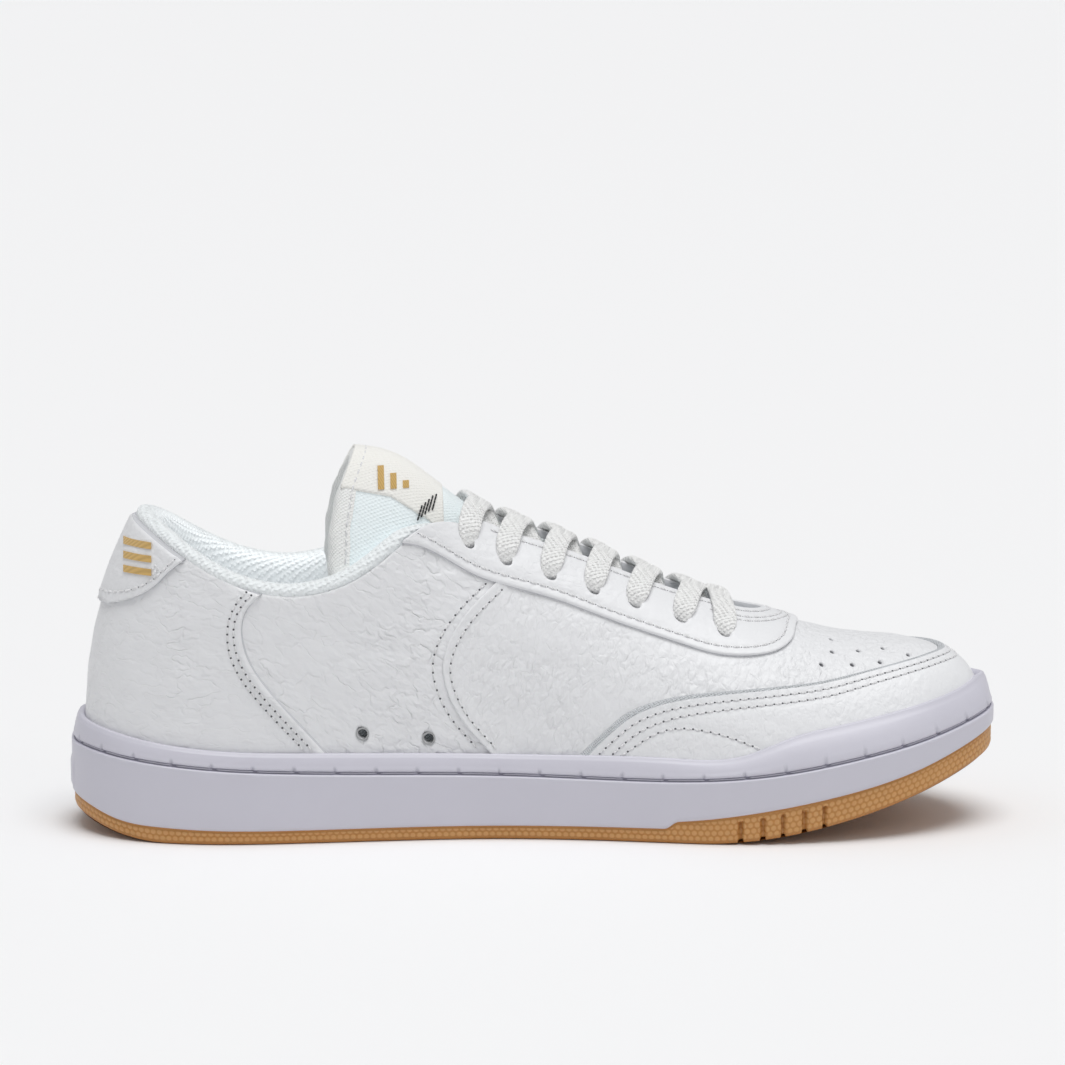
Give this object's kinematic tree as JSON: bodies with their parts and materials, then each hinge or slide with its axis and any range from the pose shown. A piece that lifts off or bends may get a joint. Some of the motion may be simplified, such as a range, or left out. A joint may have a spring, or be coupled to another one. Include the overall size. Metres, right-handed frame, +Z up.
{
  "type": "court shoe",
  "caption": "Low leather court shoe for the left foot: a laced, padded upper stitched to a moulded cupsole with a rubber tread.",
  "frame": {"origin": "on the floor under the middle of the shoe", "axes": "+X towards the toe, +Y towards the outer side of the left foot, +Z up"},
  "size_m": [0.2972, 0.107, 0.1214],
  "materials": {
    "gum_rubber": "satin",
    "cupsole_rubber": "satin",
    "sole_thread": "matt",
    "foam": "matt",
    "board": "matt",
    "sockliner": "matt",
    "lining": "matt",
    "stiffener": "matt",
    "leather": "satin",
    "leather_smooth": "satin",
    "vent_metal": "satin",
    "vent_mesh": "matt",
    "collar_knit": "matt",
    "tongue_cloth": "matt",
    "binding": "matt",
    "label": "matt",
    "gold_thread": "satin",
    "lace": "matt",
    "lace_tip": "gloss"
  },
  "bodies": {
    "shoe": {"outsole": "gum_rubber", "cupsole": "cupsole_rubber", "sole_thread": "sole_thread", "midsole_wedge": "foam", "lasting_board": "board", "sockliner": "sockliner", "quarter_lining": "lining", "vamp_lining": "lining", "heel_counter": "stiffener", "toe_puff": "stiffener", "vamp": "leather", "quarter_medial": "leather", "quarter_lateral": "leather", "heel_panel": "leather", "heel_tab": "leather", "eyestay": "leather_smooth", "toe_guard": "leather", "vent_rings": "vent_metal", "vent_mesh": "vent_mesh", "collar_foam": "foam", "collar_lining": "collar_knit", "heel_motif": "gold_thread", "lace": "lace", "lace_tips": "lace_tip"},
    "tongue": {"tongue_face": "tongue_cloth", "tongue_foam": "foam", "tongue_lining": "lining", "tongue_binding": "binding", "tongue_label": "label", "tongue_motif": "gold_thread"}
  },
  "joints": [
    {"name": "tongue_fold", "type": "hinge", "parent": "shoe", "child": "tongue", "pos_m": [0.08, 0, 0.0585], "axis": [0, -1, 0], "range_deg": [0, 11], "stiffness_Nm_per_rad": 0.6}
  ]
}
